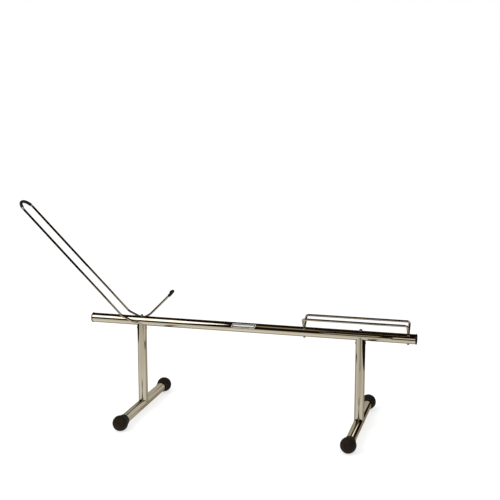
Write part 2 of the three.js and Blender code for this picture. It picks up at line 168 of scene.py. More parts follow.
def set_colour(nodes, links, shader, value, stops):
    links.new(colour_ramp(nodes, links, value, stops), shader.inputs["Base Color"])


def set_roughness(nodes, links, shader, value, low, high):
    links.new(spread(nodes, links, value, low, high), shader.inputs["Roughness"])


def add_bump(nodes, links, shader, height, strength, distance):
    bump = nodes.new("ShaderNodeBump")
    bump.inputs["Strength"].default_value = strength
    bump.inputs["Distance"].default_value = distance
    links.new(height, bump.inputs["Height"])
    links.new(bump.outputs["Normal"], shader.inputs["Normal"])


# Plate colours: the brightness is the plate's own, and the warm tint is a painted reflection of a
# tan floor.
CHROME_COLOUR_FLOOR_TINTED = (0.505, 0.458, 0.362)
CHROME_RIM_FLOOR_TINTED = (0.5, 0.47, 0.4, 1)
CHROME_DULL_SHARE = 0.95
CHROME_BRIGHT_SHARE = 1.04
WIPING_STRETCH = (1, 3, 1)
PEEL_DEPTH = 0.00004
ZINC_COLOURS = [(0.3, (0.20, 0.19, 0.17)), (0.55, (0.40, 0.39, 0.36)), (0.8, (0.52, 0.50, 0.44))]
ZINC_DEPTH = 0.0001
BLACK_SPECULAR = 0.17
BLACK_GRAIN_DEPTH = 0.0003


def chrome_material(name, tone, smooth, rough, bump_strength):
    """Polished plate: faint cloudiness, a few dull wiping marks and a very fine orange peel."""
    material, nodes, links = node_tree(name)
    shader = nodes["Principled BSDF"]
    shader.inputs["Metallic"].default_value = 1
    shader.inputs["Specular Tint"].default_value = CHROME_RIM_FLOOR_TINTED
    dull = tuple(CHROME_DULL_SHARE * tone * part for part in CHROME_COLOUR_FLOOR_TINTED)
    bright = tuple(CHROME_BRIGHT_SHARE * tone * part for part in CHROME_COLOUR_FLOOR_TINTED)
    cloud = noise(nodes, links, scale=7, detail=3)
    set_colour(nodes, links, shader, cloud, [(0.3, dull), (0.7, bright)])
    grain = spread(nodes, links, noise(nodes, links, scale=160, detail=4), smooth, rough)
    marks = noise(nodes, links, scale=24, detail=6, stretch=WIPING_STRETCH)
    wiping = spread(nodes, links, marks, 0, 1.5 * rough, start=0.6, end=0.85)
    links.new(math_node(nodes, links, "ADD", grain, wiping), shader.inputs["Roughness"])
    peel = noise(nodes, links, scale=420, detail=2)
    add_bump(nodes, links, shader, peel, bump_strength, PEEL_DEPTH)
    return material


def zinc_material():
    """Zinc plated steel with a fine crystalline mottle and darker hollows."""
    material, nodes, links = node_tree("zinc_plate")
    shader = nodes["Principled BSDF"]
    shader.inputs["Metallic"].default_value = 1
    mottle = noise(nodes, links, scale=900, detail=5)
    set_colour(nodes, links, shader, mottle, ZINC_COLOURS)
    set_roughness(nodes, links, shader, noise(nodes, links, scale=400, detail=4), 0.24, 0.42)
    add_bump(nodes, links, shader, mottle, 0.25, ZINC_DEPTH)
    return material


def black_material(name, dark, light, smooth, rough, grain_scale, grain_strength):
    """Black rubber or plastic: fine moulded grain, with paler scuffs and dust in patches."""
    material, nodes, links = node_tree(name)
    shader = nodes["Principled BSDF"]
    shader.inputs["Specular IOR Level"].default_value = BLACK_SPECULAR
    dust = noise(nodes, links, scale=55, detail=8)
    dusty = tuple(2 * part for part in light)
    set_colour(nodes, links, shader, dust, [(0.35, dark), (0.62, light), (0.8, dusty)])
    set_roughness(nodes, links, shader, dust, smooth, rough)
    grain = noise(nodes, links, grain_scale, detail=3)
    add_bump(nodes, links, shader, grain, grain_strength, BLACK_GRAIN_DEPTH)
    return material


def film_material(name, low, high, roughness):
    """Plain printed film with a faint mottle."""
    material, nodes, links = node_tree(name)
    shader = nodes["Principled BSDF"]
    tone = noise(nodes, links, scale=300, detail=5)
    set_colour(nodes, links, shader, tone, [(0.3, low), (0.7, high)])
    set_roughness(nodes, links, shader, tone, roughness, roughness + 0.12)
    return material


CHROME = chrome_material("chrome_plate", tone=1, smooth=0.02, rough=0.04, bump_strength=0.05)
# Darker copies of the same plate for the legs, feet, cradle and holder: painted shade on their
# reflections.
SHADED_LEG_CHROME = chrome_material("chrome_leg_shaded", tone=0.88, smooth=0.025, rough=0.05, bump_strength=0.05)
SHADED_BAR_CHROME = chrome_material("chrome_bar_shaded", tone=0.85, smooth=0.025, rough=0.05, bump_strength=0.05)
WELD_CHROME = chrome_material("chrome_weld", tone=0.78, smooth=0.12, rough=0.26, bump_strength=0.5)
ZINC = zinc_material()
RUBBER = black_material("black_rubber", (0.010, 0.0055, 0.0022), (0.018, 0.0105, 0.0042),
                        smooth=0.6, rough=0.8, grain_scale=1400, grain_strength=0.5)
SLEEVE_RUBBER = black_material("sleeve_rubber", (0.005, 0.0045, 0.004), (0.012, 0.010, 0.009),
                               smooth=0.5, rough=0.7, grain_scale=2200, grain_strength=0.4)
PLASTIC = black_material("black_plastic", (0.004, 0.0035, 0.003), (0.009, 0.008, 0.007),
                         smooth=0.3, rough=0.5, grain_scale=2600, grain_strength=0.25)
DARK_FILM = film_material("dark_film", (0.012, 0.014, 0.018), (0.022, 0.025, 0.03), 0.25)
LIGHT_FILM = film_material("light_film", (0.62, 0.61, 0.57), (0.75, 0.74, 0.70), 0.3)

# Meshes
SHARP_ANGLE = 35
CUT_SHARP_ANGLE = 30
HEX_SHARP_ANGLE = 20
SAME_POINT = 1e-7
SLIVER = 1e-6
SAME_STATION = 1e-5
BEND_STEP = math.radians(3)
TUBE_SIDES = 144
CAP_SIDES = 96
WASHER_SIDES = 72
DOWEL_SIDES = 64
ROD_SIDES = 48
BAR_SIDES = 40
AXIS_TURNS = {"X": Matrix.Rotation(QUARTER_TURN, 4, "Y"),
              "Y": Matrix.Rotation(-QUARTER_TURN, 4, "X"),
              "Z": Matrix.Identity(4)}


def smoothed(mesh, sharp_angle):
    """Smooth shading that leaves an edge sharp where it turns by more than sharp_angle degrees."""
    mesh.shade_smooth()
    mesh.set_sharp_from_angle(angle=math.radians(sharp_angle))
    return mesh


def mesh_from(name, points, faces):
    """A mesh whose points are merged where they meet and whose faces look outward."""
    mesh = bpy.data.meshes.new(name)
    mesh.from_pydata(points, [], faces)
    tidy = bmesh.new()
    tidy.from_mesh(mesh)
    bmesh.ops.remove_doubles(tidy, verts=tidy.verts, dist=SAME_POINT)
    bmesh.ops.recalc_face_normals(tidy, faces=tidy.faces)
    tidy.to_mesh(mesh)
    tidy.free()
    return smoothed(mesh, SHARP_ANGLE)


def angles_round(count):
    return [2 * math.pi * index / count for index in range(count)]


def band(low, high, count):
    """The faces between two closed lines of count points, which start at low and at high."""
    faces = []
    for index in range(count):
        beside = (index + 1) % count
        faces.append((low + index, low + beside, high + beside, high + index))
    return faces


def revolve(name, profile, sides, place, axis="Z"):
    """A closed profile of (radius, height) points turned about an axis through place."""
    turn = AXIS_TURNS[axis]
    points = []
    for radius, height in profile:
        for angle in angles_round(sides):
            local = Vector((radius * math.cos(angle), radius * math.sin(angle), height))
            points.append(Vector(place) + turn @ local)
    faces = []
    rings = len(profile)
    for ring in range(rings):
        after = (ring + 1) % rings
        if profile[ring][0] or profile[after][0]:
            faces += band(ring * sides, after * sides, sides)
    return mesh_from(name, points, faces)


def rod(name, radius, low, high, sides, place, axis="Z"):
    """A plain rod from height low to height high on an axis through place."""
    return revolve(name, [(0, low), (radius, low), (radius, high), (0, high)], sides, place, axis)


def rings_mesh(name, points, sides):
    """A mesh through rings of points, closed flat at both ends."""
    faces = [tuple(range(sides)), tuple(range(len(points) - sides, len(points)))]
    for low in range(0, len(points) - sides, sides):
        faces += band(low, low + sides, sides)
    return mesh_from(name, points, faces)


def rounded(corners, radius, steps=5):
    """The outline through (radius, height) corners with each marked corner rounded off."""
    outline = []
    count = len(corners)
    for index, (r, h, soft) in enumerate(corners):
        if not soft:
            outline.append((r, h))
            continue
        before = Vector(corners[index - 1][:2])
        after = Vector(corners[(index + 1) % count][:2])
        corner = Vector((r, h))
        into = (before - corner).normalized()
        out = (after - corner).normalized()
        half = into.angle(out) / 2
        reach = radius / math.tan(half)
        centre = corner + (into + out).normalized() * radius / math.sin(half)
        first = corner + into * reach - centre
        last = corner + out * reach - centre
        sweep_angle = first.angle_signed(last)
        for step in range(steps + 1):
            turned = first.copy()
            turned.rotate(Matrix.Rotation(-sweep_angle * step / steps, 2))
            outline.append(tuple(centre + turned))
    return outline


def arc_stations(start, heading, inward, radius, turn):
    """Stations, each a point and a heading, along a bend towards inward."""
    count = max(2, math.ceil(turn / BEND_STEP))
    stations = []
    for index in range(count + 1):
        angle = turn * index / count
        point = start + heading * radius * math.sin(angle) + inward * radius * (1 - math.cos(angle))
        stations.append((point, heading * math.cos(angle) + inward * math.sin(angle)))
    return stations


def bend_length(before, corner, after, radius):
    return radius * math.tan((corner - before).angle(after - corner) / 2)


def route(corners, radii):
    """Stations along straight runs that are joined by round bends."""
    stations = [(corners[0], (corners[1] - corners[0]).normalized())]
    for before, corner, after, radius in zip(corners, corners[1:], corners[2:], radii):
        heading = (corner - before).normalized()
        leaving = (after - corner).normalized()
        turn = heading.angle(leaving)
        inward = (leaving - heading * math.cos(turn)).normalized()
        start = corner - heading * bend_length(before, corner, after, radius)
        stations += arc_stations(start, heading, inward, radius, turn)
    stations.append((corners[-1], (corners[-1] - corners[-2]).normalized()))
    kept = [stations[0]]
    for item in stations[1:]:
        if (item[0] - kept[-1][0]).length > SAME_STATION:
            kept.append(item)
    return kept


def ring_axes(stations):
    """A sideways vector for each station, carried along without twist."""
    first = stations[0][1].orthogonal().normalized()
    sides = [first]
    for (_, before), (_, after) in zip(stations, stations[1:]):
        turned = before.rotation_difference(after) @ sides[-1]
        sides.append((turned - after * turned.dot(after)).normalized())
    return sides


def sweep(name, stations, radii, sides):
    """A round bar along stations, with a radius for each of them and closed ends."""
    points = []
    for (point, tangent), side, radius in zip(stations, ring_axes(stations), radii):
        across = tangent.cross(side)
        for angle in angles_round(sides):
            points.append(point + (side * math.cos(angle) + across * math.sin(angle)) * radius)
    return rings_mesh(name, points, sides)


def with_round_ends(stations, radius, edge, steps):
    """Stations and radii of a bar whose end edges are rounded off."""
    (start, first), (end, last) = stations[0], stations[-1]
    opening, closing = [], []
    for step in range(steps):
        angle = QUARTER_TURN * step / steps
        inset = edge * (1 - math.sin(angle))
        along = edge - edge * math.cos(QUARTER_TURN - angle)
        opening.append(((start + first * along, first), radius - inset))
        closing.append(((end - last * along, last), radius - inset))
    middle = [(start + first * edge, first), *stations[1:-1], (end - last * edge, last)]
    rows = opening + [(item, radius) for item in middle] + closing[::-1]
    return [item for item, _ in rows], [value for _, value in rows]


def bar(name, stations, diameter, edge, steps):
    return sweep(name, *with_round_ends(stations, diameter / 2, edge, steps), BAR_SIDES)


def combined(name, mesh, tools, operation="DIFFERENCE"):
    """mesh with each tool cut from it, or with only what each tool shares with it."""
    for tool in tools:
        whole = bpy.data.objects.new("whole", mesh)
        other = bpy.data.objects.new("other", tool)
        for item in (whole, other):
            bpy.context.scene.collection.objects.link(item)
        step = whole.modifiers.new("step", "BOOLEAN")
        step.operation = operation
        step.solver = "EXACT"
        step.object = other
        evaluated = whole.evaluated_get(bpy.context.evaluated_depsgraph_get())
        mesh = bpy.data.meshes.new_from_object(evaluated)
        for item in (whole, other):
            bpy.data.objects.remove(item)
    merge_slivers(mesh)
    mesh.name = name
    return mesh


def merge_slivers(mesh):
    """Merge the points that a cut leaves almost in one place, and drop faces without an area."""
    tidy = bmesh.new()
    tidy.from_mesh(mesh)
    bmesh.ops.remove_doubles(tidy, verts=tidy.verts, dist=SLIVER)
    bmesh.ops.dissolve_degenerate(tidy, edges=tidy.edges, dist=SLIVER)
    tidy.to_mesh(mesh)
    tidy.free()


def joined(name, meshes):
    """Several meshes as one."""
    whole = bmesh.new()
    for mesh in meshes:
        whole.from_mesh(mesh)
    result = bpy.data.meshes.new(name)
    whole.to_mesh(result)
    whole.free()
    return result


def block(low, high):
    points = [Vector((x, y, z)) for x in (low[0], high[0])
              for y in (low[1], high[1]) for z in (low[2], high[2])]
    faces = [(0, 1, 3, 2), (4, 5, 7, 6), (0, 1, 5, 4), (2, 3, 7, 6), (0, 2, 6, 4), (1, 3, 7, 5)]
    return mesh_from("block", points, faces)


def add_piece(name, mesh, material, body, replaced=()):
    piece = bpy.data.objects.new(name, mesh)
    mesh.materials.clear()
    mesh.materials.append(material)
    bpy.context.scene.collection.objects.link(piece)
    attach(piece, body)
    if replaced:
        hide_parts(*replaced)


# Tubes with their holes
PIPE_EDGE = 0.0003
BUSH_EDGE = 0.0004
PIPE_EDGE_STEPS = 3
RING_MARGIN = 0.0005
DRILL_OVERRUN = 0.003


def pipe_profile(radius, bore, length, edge=PIPE_EDGE, cuts=()):
    """The outline of a pipe's wall. Extra rings keep the facets beside its edges and cuts short."""
    half = length / 2
    rings = sorted([edge + RING_MARGIN - half, *cuts, half - edge - RING_MARGIN])
    corners = [(bore, -half, True), (radius, -half, True)]
    corners += [(radius, height, False) for height in rings]
    corners += [(radius, half, True), (bore, half, True)]
    corners += [(bore, height, False) for height in reversed(rings)]
    return rounded(corners, edge, PIPE_EDGE_STEPS)


def drill(axis, radius, place, length, sides=ROD_SIDES):
    return rod("drill", radius, -length / 2, length / 2, sides, place, axis)


def add_beam():
    length = beam_high.x - beam_low.x
    place = Vector(((beam_low.x + beam_high.x) / 2, 0, beam_height))
    through = 2 * (tube_radius + DRILL_OVERRUN)
    sleeve_radius = (sleeve_high.z - sleeve_low.z) / 2
    holes = [("Y", sleeve_radius + SEAT_GAP, pivot.x)]
    for end in ("rear", "front"):
        holes.append(("Z", LEG_BOLT_DIAMETER / 2 + SEAT_GAP, middle_of(f"leg_bolt_{end}").x))
        holes.append(("Z", STUD_DIAMETER / 2 + SEAT_GAP, middle_of(f"cradle_stud_{end}").x))
    cuts = []
    for _, radius, x in holes:
        cuts += [x - place.x + side * (radius + RING_MARGIN) for side in (-1, 1)]
    profile = pipe_profile(tube_radius, tube_bore, length, cuts=cuts)
    blank = revolve("beam", profile, TUBE_SIDES, place, "X")
    tools = [drill(axis, radius, (x, 0, beam_height), through) for axis, radius, x in holes]
    mesh = smoothed(combined("beam", blank, tools), CUT_SHARP_ANGLE)
    add_piece("beam", mesh, CHROME, "stand", ["beam_tube"])


PLUG_DOME = 0.0008
PLUG_EDGE = 0.0022
PLUG_EDGE_STEPS = 8


def add_plug(end, outward, face_x):
    """Plug with a rounded flange on the beam's end and a hollow skirt inside it."""
    low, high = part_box(f"beam_plug_{end}")
    flange = (high.z - low.z) / 2
    skirt = tube_bore - SEAT_GAP
    skirt_bore = skirt - PLUG_SKIRT_WALL
    corners = [(0, SEAT_GAP, False), (skirt_bore, SEAT_GAP, False),
               (skirt_bore, -PLUG_SKIRT_LENGTH, False), (skirt, -PLUG_SKIRT_LENGTH, False),
               (skirt, SEAT_GAP, False), (flange, SEAT_GAP, False),
               (flange, PLUG_FLANGE_LENGTH - PLUG_DOME, True), (0, PLUG_FLANGE_LENGTH, False)]
    profile = rounded(corners, PLUG_EDGE, PLUG_EDGE_STEPS)
    profile = [(radius, height * outward) for radius, height in profile]
    mesh = revolve(f"plug_{end}", profile, CAP_SIDES, (face_x, 0, beam_height), "X")
    add_piece(f"plug_{end}", mesh, PLASTIC, "stand", [f"beam_plug_{end}"])


# Legs, their welds and feet
def add_leg(end):
    """Tube coped to the beam and to the foot tube, with the hole of its cross dowel."""
    low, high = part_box(f"leg_tube_{end}")
    x = (low.x + high.x) / 2
    top, bottom = beam_height, foot_height
    place = Vector((x, 0, (top + bottom) / 2))
    dowel = middle_of(f"leg_dowel_{end}")
    cope = tube_radius + SEAT_GAP
    hole = DOWEL_DIAMETER / 2 + SEAT_GAP
    beside = hole + RING_MARGIN
    heights = [top - cope - RING_MARGIN, bottom + cope + RING_MARGIN]
    heights += [dowel.z - beside, dowel.z + beside]
    cuts = [height - place.z for height in heights]
    profile = pipe_profile(tube_radius, tube_bore, top - bottom, cuts=cuts)
    blank = revolve("leg", profile, TUBE_SIDES, place)
    through = 2 * (tube_radius + DRILL_OVERRUN)
    tools = [drill("X", cope, (x, 0, beam_height), through, TUBE_SIDES),
             drill("Y", cope, (x, 0, foot_height), through, TUBE_SIDES),
             drill("X", hole, dowel, through)]
    mesh = smoothed(combined(f"leg_{end}", blank, tools), CUT_SHARP_ANGLE)
    add_piece(f"leg_{end}", mesh, SHADED_LEG_CHROME, "stand", [f"leg_tube_{end}"])
    add_leg_weld(end, x)


WELD_RADIUS = 0.0013
WELD_RIPPLE = 0.0011
WELD_SWELL = 0.14
WELD_POINTS = 420
WELD_SIDES = 14
WELD_SOFTENING = 0.0018


def add_bead(name, points, body):
    """A weld bead along a closed line, with the scales that each drop leaves."""
    stations, radii = [], []
    travelled = 0
    count = len(points)
    for index in range(count + 1):
        here, after = points[index % count], points[(index + 1) % count]
        stations.append((here, (after - points[index - 1]).normalized()))
        travelled += (after - here).length
        scale = abs(math.sin(math.pi * travelled / WELD_RIPPLE))
        radii.append(WELD_RADIUS * (1 + WELD_SWELL * scale))
    add_piece(name, sweep(name, stations, radii, WELD_SIDES), WELD_CHROME, body)


def add_leg_weld(end, x):
    """The saddle line where the leg stands on its foot tube, softened at its low corners."""
    points = []
    for angle in angles_round(WELD_POINTS):
        side, depth = tube_radius * math.cos(angle), tube_radius * math.sin(angle)
        rise = math.sqrt(depth * depth + WELD_SOFTENING * WELD_SOFTENING)
        points.append(Vector((x + side, depth, foot_height + rise)))
    add_bead(f"leg_weld_{end}", points, "stand")


def add_ring_weld(name, centre, radius, body):
    """A bead round a bar that lies across the beam."""
    points = []
    for angle in angles_round(WELD_POINTS // 2):
        points.append(centre + Vector((radius * math.cos(angle), 0, radius * math.sin(angle))))
    add_bead(name, points, body)


def add_foot(end):
    low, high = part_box(f"foot_tube_{end}")
    place = (low + high) / 2
    profile = pipe_profile(tube_radius, tube_bore, high.y - low.y)
    mesh = revolve(f"foot_{end}", profile, TUBE_SIDES, place, "Y")
    add_piece(f"foot_{end}", mesh, SHADED_LEG_CHROME, "stand", [f"foot_tube_{end}"])
    for side, sense in (("near", -1), ("far", 1)):
        centre = Vector((place.x, sense * (high.y + BALL_PAST_TUBE), foot_height))
        add_cap(f"{end}_{side}", sense, centre)


CAP_EDGE = 0.0009
BALL_STEPS = 40


def add_cap(which, sense, centre):
    """Rubber ball with a collar that grips the tube, a waist between them and a worn flat below."""
    ball = BALL_DIAMETER / 2
    bore = tube_radius + SEAT_GAP
    collar = COLLAR_DIAMETER / 2
    waist = WAIST_DIAMETER / 2
    waist_angle = math.asin(waist / ball)
    waist_reach = -ball * math.cos(waist_angle)
    bore_end = SEAT_GAP - BALL_PAST_TUBE
    mouth = -COLLAR_REACH
    shoulder = waist_reach - WAIST_LENGTH
    corners = [(0, bore_end, False), (bore, bore_end, False), (bore, mouth, True),
               (collar, mouth, True), (collar, shoulder, True),
               (waist, shoulder + WAIST_LENGTH / 2, True), (waist, waist_reach, False)]
    profile = rounded(corners, CAP_EDGE)
    for step in range(1, BALL_STEPS + 1):
        angle = waist_angle + (math.pi - waist_angle) * step / BALL_STEPS
        radius = 0 if step == BALL_STEPS else ball * math.sin(angle)
        profile.append((radius, -ball * math.cos(angle)))
    profile = [(radius, reach * sense) for radius, reach in profile]
    mesh = revolve(f"cap_{which}", profile, CAP_SIDES, centre, "Y")
    for vertex in mesh.vertices:
        vertex.co.z = max(vertex.co.z, 0)
    add_piece(f"cap_{which}", mesh, RUBBER, "stand", [f"foot_cap_{which}"])


# Leg fasteners
HEX_SIDES = 6
HEX_CONE_SLOPE = math.radians(28)
HEX_FACE_SHARE = 0.93
BOLT_PITCH = 0.001
STUD_PITCH = 0.0008
THREAD_DEPTH_SHARE = 0.55
THREAD_ROWS_PER_TURN = 10
WASHER_EDGE = 0.0006
DOWEL_EDGE = 0.0008
FASTENER_EDGE_STEPS = 4
DOWEL_SLOT_WIDTH = 0.0014
DOWEL_SLOT_DEPTH = 0.0011


def hex_mesh(name, place, across, low, high, bore):
    """A hexagon head or nut whose corners are turned down to a cone at its ends."""
    corner = across / 2 / math.cos(math.pi / HEX_SIDES)
    face = across / 2 * HEX_FACE_SHARE
    drop = (corner - face) * math.tan(HEX_CONE_SLOPE)
    prism = rod("prism", corner, low, high, HEX_SIDES, place)
    cone = [(0, low), (face, low), (corner, low + drop),
            (corner, high - drop), (face, high), (0, high)]
    mesh = combined(name, prism, [revolve("cone", cone, WASHER_SIDES, place)], "INTERSECT")
    if bore:
        middle = Vector(place) + Vector((0, 0, (low + high) / 2))
        mesh = combined(name, mesh, [drill("Z", bore, middle, 1.5 * (high - low))])
    return smoothed(mesh, HEX_SHARP_ANGLE)


def threaded(name, place, radius, low, high, pitch):
    """A rod with a shallow V thread that runs out in a small chamfer."""
    depth = THREAD_DEPTH_SHARE * pitch
    rows = math.ceil((high - low) / pitch * THREAD_ROWS_PER_TURN)
    points = []
    for row in range(rows + 1):
        height = low + (high - low) * row / rows
        edge = min(height - low, high - height)
        for index, angle in enumerate(angles_round(ROD_SIDES)):
            turns = height / pitch + index / ROD_SIDES
            groove = abs(2 * (turns - math.floor(turns)) - 1)
            reach = radius - depth * (1 - groove)
            reach = min(reach, radius - depth + max(edge, 0))
            local = Vector((reach * math.cos(angle), reach * math.sin(angle), height))
            points.append(Vector(place) + local)
    return rings_mesh(name, points, ROD_SIDES)


def add_bolt(end):
    low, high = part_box(f"leg_bolt_{end}")
    place = ((low.x + high.x) / 2, 0, 0)
    radius = LEG_BOLT_DIAMETER / 2
    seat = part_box(f"leg_washer_{end}")[1].z + SEAT_GAP
    shank_end = beam_height - tube_radius
    across = min(high.x - low.x, high.y - low.y)
    head = hex_mesh("head", place, across, seat, high.z, 0)
    shank = rod("shank", radius, shank_end, seat, ROD_SIDES, place)
    thread = threaded("thread", place, radius, low.z, shank_end, BOLT_PITCH)
    mesh = joined(f"bolt_{end}", [head, shank, thread])
    add_piece(f"bolt_{end}", mesh, ZINC, "stand", [f"leg_bolt_{end}"])


def add_washer(end):
    """Domed washer whose underside is cut to the beam."""
    bolt_low, bolt_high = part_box(f"leg_bolt_{end}")
    low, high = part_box(f"leg_washer_{end}")
    x = (bolt_low.x + bolt_high.x) / 2
    radius = (high.x - low.x) / 2
    bore = LEG_BOLT_DIAMETER / 2 + SEAT_GAP
    corners = [(bore, low.z, False), (radius, low.z, False), (radius, high.z, True),
               (bore, high.z, False)]
    profile = rounded(corners, WASHER_EDGE, FASTENER_EDGE_STEPS)
    blank = revolve("washer", profile, WASHER_SIDES, (x, 0, 0))
    saddle = drill("X", tube_radius + SEAT_GAP, (x, 0, beam_height), 4 * radius, TUBE_SIDES)
    mesh = smoothed(combined("washer", blank, [saddle]), CUT_SHARP_ANGLE)
    add_piece(f"washer_{end}", mesh, ZINC, "stand", [f"leg_washer_{end}"])


def add_dowel(end):
    """Cross dowel with the bolt's bore through it and a screwdriver slot in each face."""
    low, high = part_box(f"leg_dowel_{end}")
    centre = (low + high) / 2
    length = high.x - low.x
    radius = DOWEL_DIAMETER / 2
    corners = [(0, -length / 2, False), (radius, -length / 2, True), (radius, length / 2, True),
               (0, length / 2, False)]
    profile = rounded(corners, DOWEL_EDGE, FASTENER_EDGE_STEPS)
    tools = [drill("Z", LEG_BOLT_DIAMETER / 2 + SEAT_GAP, centre, 2 * DOWEL_DIAMETER)]
    for outward in (-1, 1):
        face = Vector((centre.x + outward * length / 2, centre.y, centre.z))
        reach = Vector((DOWEL_SLOT_DEPTH, DOWEL_SLOT_WIDTH / 2, DOWEL_DIAMETER))
        tools.append(block(face - reach, face + reach))
    blank = revolve("dowel", profile, DOWEL_SIDES, centre, "X")
    mesh = smoothed(combined("dowel", blank, tools), CUT_SHARP_ANGLE)
    add_piece(f"dowel_{end}", mesh, ZINC, "stand", [f"leg_dowel_{end}"])


# Cradle
def add_cradle():
    rear, front = middle_of("cradle_stud_rear").x, middle_of("cradle_stud_front").x
    radius = CRADLE_BAR_DIAMETER / 2
    for side, sense in (("near", -1), ("far", 1)):
        low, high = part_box(f"cradle_rail_{side}")
        foot_z = low.z + radius
        rail_z = high.z - radius
        rail_y = sense * (max(abs(low.y), abs(high.y)) - radius)
        foot_y = sense * CRADLE_FOOT_TRACK / 2
        corners = [Vector((rear, 0, foot_z)), Vector((rear, foot_y, foot_z)),
                   Vector((rear, rail_y, rail_z)), Vector((front, rail_y, rail_z)),
                   Vector((front, foot_y, foot_z)), Vector((front, 0, foot_z))]
        stations = route(corners, [CRADLE_BEND_RADIUS] * 4)
        mesh = sweep(f"cradle_{side}", stations, [radius] * len(stations), BAR_SIDES)
        add_piece(f"cradle_{side}", mesh, SHADED_BAR_CHROME, "stand", [f"cradle_rail_{side}"])
    for end, x in (("rear", rear), ("front", front)):
        add_stud(end, x, foot_z)
        add_ring_weld(f"cradle_weld_{end}", Vector((x, 0, foot_z)), radius, "stand")


def add_stud(end, x, bar_z):
    """Stud from the cradle's bars down through the beam, and its nut."""
    low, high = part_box(f"cradle_stud_{end}")
    nut_low, nut_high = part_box(f"cradle_nut_{end}")
    place = (x, 0, 0)
    radius = STUD_DIAMETER / 2
    plain_end = beam_height
    thread = threaded("thread", place, radius, low.z, plain_end, STUD_PITCH)
    shank = rod("shank", radius, plain_end, bar_z, ROD_SIDES, place)
    mesh = joined(f"stud_{end}", [thread, shank])
    add_piece(f"stud_{end}", mesh, CHROME, "stand", [f"cradle_stud_{end}"])
    across = min(nut_high.x - nut_low.x, nut_high.y - nut_low.y)
    mesh = hex_mesh("nut", place, across, nut_low.z, nut_high.z, radius + SEAT_GAP / 2)
    add_piece(f"nut_{end}", mesh, ZINC, "stand", [f"cradle_nut_{end}"])


# Wheel holder and its pivot
AXLE_CLEARANCE = 0.00015
AXLE_OVERLAP = 0.001
BAR_EDGE = 0.0006
BAR_EDGE_STEPS = 4
SLEEVE_EDGE = 0.0012
SLEEVE_EDGE_STEPS = 5

hoop_heading = Vector((-math.cos(ARM_RISE), 0, math.sin(ARM_RISE)))
hook_heading = Vector((math.cos(ARM_RISE), 0, math.sin(ARM_RISE)))
far_side = Vector((0, 1, 0))


def add_pivot_sleeve():
    radius = (sleeve_high.z - sleeve_low.z) / 2
    bore = HOLDER_BAR_DIAMETER / 2 + AXLE_CLEARANCE
    profile = pipe_profile(radius, bore, sleeve_high.y - sleeve_low.y, BUSH_EDGE)
    mesh = revolve("pivot_bush", profile, WASHER_SIDES, pivot, "Y")
    add_piece("pivot_bush", mesh, CHROME, "stand", ["pivot_sleeve"])


def pivot_corner(side):
    return pivot + Vector((0, side * arm_y, 0))


def hoop_knee(side):
    return pivot + Vector((-HOOP_KNEE_RUN, side * arm_y, HOOP_KNEE_RISE))


hook_knee = pivot + Vector((HOOK_KNEE_RUN, arm_y, HOOK_KNEE_RISE))
arch_start = hoop_knee(-1) + hoop_heading * HOOP_ARM_LENGTH
hook_bend_start = hook_knee + hook_heading * HOOK_ARM_LENGTH


def add_holder():
    """One bar: axle, near arm, arch, far arm, and the hook's arm with its bent end."""
    radius = HOLDER_BAR_DIAMETER / 2
    axle_end = pivot + far_side * (arm_y - radius + AXLE_OVERLAP)
    near_top = arch_start + hoop_heading * arm_y
    far_top = near_top + far_side * HOLDER_TRACK
    hook_corner = hook_bend_start + hook_heading * arm_y
    hook_end = hook_corner - far_side * (arm_y + HOOK_END_LENGTH)
    corners = [axle_end, pivot_corner(-1), hoop_knee(-1), near_top, far_top,
               hoop_knee(1), pivot_corner(1), hook_knee, hook_corner, hook_end]
    radii = [HOLDER_CORNER_RADIUS, HOLDER_KNEE_RADIUS, arm_y, arm_y,
             HOLDER_KNEE_RADIUS, HOLDER_VERTEX_RADIUS, HOLDER_KNEE_RADIUS, arm_y]
    mesh = bar("holder_bar", route(corners, radii), HOLDER_BAR_DIAMETER, BAR_EDGE, BAR_EDGE_STEPS)
    replaced = ["holder_hoop", "holder_hook_arm", "holder_axle"]
    add_piece("holder_bar", mesh, SHADED_BAR_CHROME, "wheel_holder", replaced)
    add_ring_weld("holder_weld", pivot + far_side * (arm_y - radius), radius, "wheel_holder")


def rubber_sleeve(name, stations, replaced):
    """A sleeve drawn over the bar, with rounded mouths."""
    mesh = bar(name, stations, SLEEVE_DIAMETER, SLEEVE_EDGE, SLEEVE_EDGE_STEPS)
    add_piece(name, mesh, SLEEVE_RUBBER, "wheel_holder", [replaced])


def add_sleeves():
    centre = arch_start + far_side * arm_y
    across, along = math.cos(HOOP_SLEEVE_START), math.sin(HOOP_SLEEVE_START)
    start = centre - far_side * arm_y * across + hoop_heading * arm_y * along
    heading = hoop_heading * across + far_side * along
    inward = (centre - start).normalized()
    turn = math.pi - 2 * HOOP_SLEEVE_START
    rubber_sleeve("sleeve_hoop", arc_stations(start, heading, inward, arm_y, turn), "hoop_sleeve")
    bend = arc_stations(hook_bend_start, hook_heading, -far_side, arm_y, QUARTER_TURN)
    last, leaving = bend[-1]
    end = last + leaving * (HOOK_END_LENGTH + SEAT_GAP + SLEEVE_END_WALL)
    rubber_sleeve("sleeve_hook", bend + [(end, leaving)], "hook_sleeve")


# Blank label on the beam's near side
LABEL_LOW_X = 0.089
LABEL_HIGH_X = 0.184
LABEL_LOW_ANGLE = math.radians(7)
LABEL_HIGH_ANGLE = math.radians(60)
LABEL_SLANT = 0.3
LABEL_CORNER = 0.003
LABEL_RIM = 0.0018
LABEL_RIM_LINES = 4
LABEL_STRIPE_INSET = 0.0056
LABEL_STRIPE_CORNER = 0.001
LABEL_CORNER_STEPS = 6
LABEL_ROWS = 16
FILM_THICKNESS = 0.00012
FILM_LIFT = 0.00003


